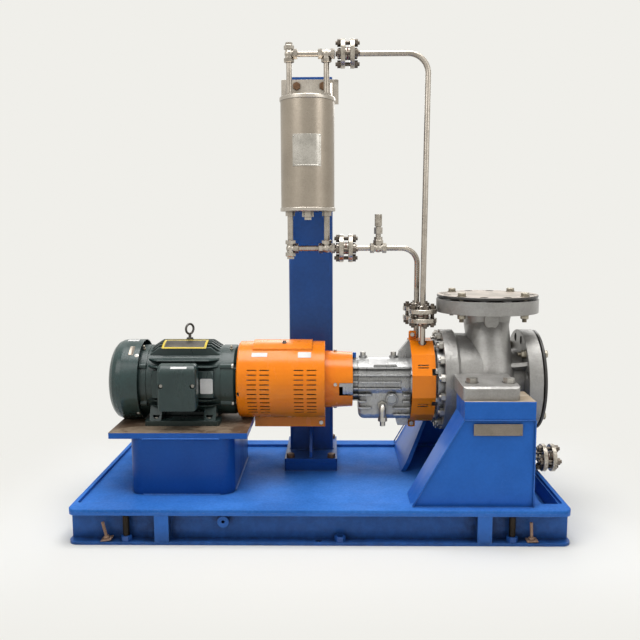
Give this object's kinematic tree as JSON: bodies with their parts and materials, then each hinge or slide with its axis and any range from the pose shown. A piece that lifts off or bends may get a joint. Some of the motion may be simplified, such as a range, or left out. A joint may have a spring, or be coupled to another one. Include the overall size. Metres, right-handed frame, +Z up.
{
  "type": "centrifugal pump",
  "caption": "Horizontal end-suction process pump on a drain-rim baseplate with an electric motor, spacer coupling, guards and a column-mounted seal cooler with flanged tubing.",
  "frame": {"origin": "middle of the four corner anchor holes, on the underside of the baseplate", "axes": "+X along the shaft from the motor to the suction flange, +Y away from the front of the set, +Z up"},
  "size_m": [1.6025, 0.762, 1.5806],
  "materials": {
    "aluminium_fan": "cast",
    "base_blue": "satin",
    "black_steel": "satin",
    "blue_plastic": "moulded",
    "carbon": "matte",
    "copper_winding": "varnished",
    "gasket_red": "matte",
    "guard_orange": "gloss",
    "motor_green": "satin",
    "polished_steel": "polished",
    "pump_grey": "satin",
    "shaft_steel": "machined",
    "sight_glass": "clear",
    "stainless": "satin",
    "zinc_steel": "plated"
  },
  "bodies": {
    "base_set": {"base_frame": "base_blue", "bearing_covers": "pump_grey", "bearing_housing": "pump_grey", "bearing_outer_rings": "polished_steel", "breather_cap": "blue_plastic", "casing_bolting": "zinc_steel", "column_bolts": "zinc_steel", "conduit_box": "motor_green", "cooler_bracket": "stainless", "cooler_coils": "stainless", "cooler_column": "base_blue", "cooler_heads": "stainless", "cooler_shell": "stainless", "coupling_guard": "guard_orange", "deck_pan": "base_blue", "drain_line": "stainless", "fan_cover": "motor_green", "gaskets": "gasket_red", "gland_plate": "stainless", "guard_screws": "zinc_steel", "guard_sleeve": "guard_orange", "jackscrews": "zinc_steel", "lifting_eye": "zinc_steel", "line_bolting": "zinc_steel", "line_flanges": "stainless", "manifold_tubes": "stainless", "motor_end_bells": "motor_green", "motor_frame": "motor_green", "motor_pedestal": "base_blue", "motor_plate": "base_blue", "motor_screws": "zinc_steel", "motor_stator": "copper_winding", "nozzle_covers": "black_steel", "oil_fittings": "zinc_steel", "oil_sight_glass": "sight_glass", "pump_casing": "pump_grey", "pump_foot_bolts": "zinc_steel", "pump_pedestals": "base_blue", "pump_screws": "zinc_steel", "return_line": "stainless", "seal_chamber_cover": "pump_grey", "seal_seat": "carbon", "shaft_guard": "guard_orange", "supply_line": "stainless", "tube_tees": "stainless", "vent_valve": "stainless", "wear_ring": "stainless"},
    "pump_rotor": {"pump_shaft": "shaft_steel", "impeller": "stainless", "impeller_nut": "stainless", "seal_head": "stainless", "pump_bearings": "polished_steel", "pump_hub": "shaft_steel", "coupling_spacer": "shaft_steel", "disc_packs": "stainless", "coupling_bolts": "zinc_steel"},
    "motor_rotor_train": {"motor_rotor": "shaft_steel", "motor_fan": "aluminium_fan", "motor_hub": "shaft_steel", "motor_bearings": "polished_steel"}
  },
  "joints": [
    {"name": "motor_turn", "type": "hinge", "parent": "base_set", "child": "motor_rotor_train", "pos_m": [0, 0, 0.44], "axis": [1, 0, 0], "continuous": true},
    {"name": "pump_turn", "type": "hinge", "parent": "base_set", "child": "pump_rotor", "pos_m": [0, 0, 0.44], "axis": [1, 0, 0], "continuous": true}
  ],
  "couplings": [
    {"joint": "pump_turn", "follows": "motor_turn", "ratio": 1}
  ]
}
